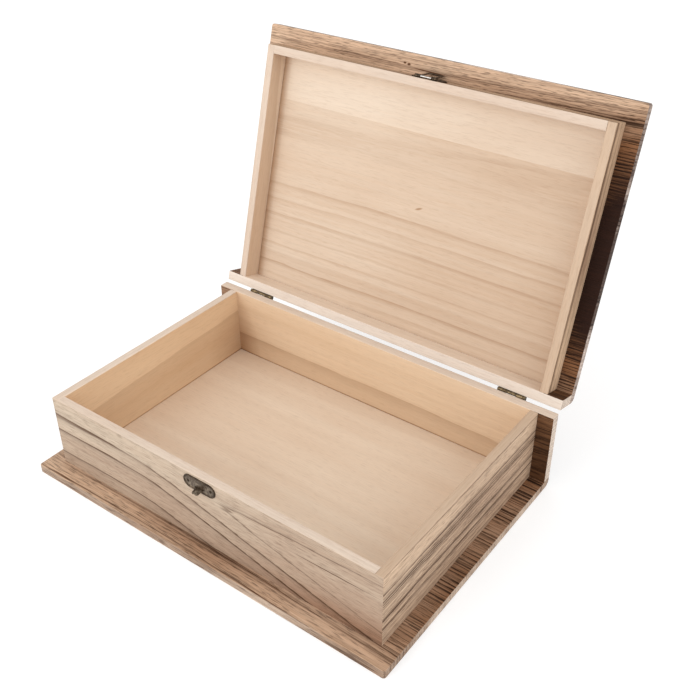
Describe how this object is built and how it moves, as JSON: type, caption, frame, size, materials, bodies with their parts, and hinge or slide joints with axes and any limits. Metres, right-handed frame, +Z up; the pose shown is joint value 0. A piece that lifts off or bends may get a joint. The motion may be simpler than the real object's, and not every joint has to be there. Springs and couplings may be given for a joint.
{
  "type": "book box",
  "caption": "Wooden box made like a book, open, with a deep tray, a framed lid hinged at the spine, and a hasp on the front.",
  "frame": {"origin": "middle of the bottom cover's underside", "axes": "+X along the box to the right, +Y from the front edge to the spine, +Z up"},
  "size_m": [0.325, 0.3047, 0.2775],
  "materials": {
    "cover_wood": "scorched and brushed, matt",
    "wall_wood": "sanded, raw",
    "fittings": "antique bronze, dark and worn"
  },
  "bodies": {
    "tray": {"bottom_cover_board": "cover_wood", "tray_front_wall": "wall_wood", "tray_left_wall": "wall_wood", "tray_right_wall": "wall_wood", "tray_spine_board": "cover_wood", "left_hinge_tray_leaf": "fittings", "right_hinge_tray_leaf": "fittings", "left_hinge_pin": "fittings", "right_hinge_pin": "fittings", "hinge_nails_tray": "fittings", "catch_plate": "fittings", "catch_nails": "fittings"},
    "lid": {"top_cover_board": "cover_wood", "lid_front_rail": "wall_wood", "lid_left_rail": "wall_wood", "lid_right_rail": "wall_wood", "lid_spine_strip": "cover_wood", "left_hinge_lid_leaf": "fittings", "right_hinge_lid_leaf": "fittings", "hinge_nails_lid": "fittings", "hasp_plate": "fittings", "hasp_nails": "fittings", "hasp_pin": "fittings"},
    "hasp": {"hasp_loop": "fittings"}
  },
  "joints": [
    {"name": "lid_hinge", "type": "hinge", "parent": "tray", "child": "lid", "pos_m": [0, 0.1115, 0.0685], "axis": [-1, 0, 0], "range_deg": [-105.5, 0]},
    {"name": "hasp_swing", "type": "hinge", "parent": "lid", "child": "hasp", "pos_m": [0, 0.16915, 0.26852], "axis": [-1, 0, 0], "range_deg": [-172.04, 0]}
  ]
}
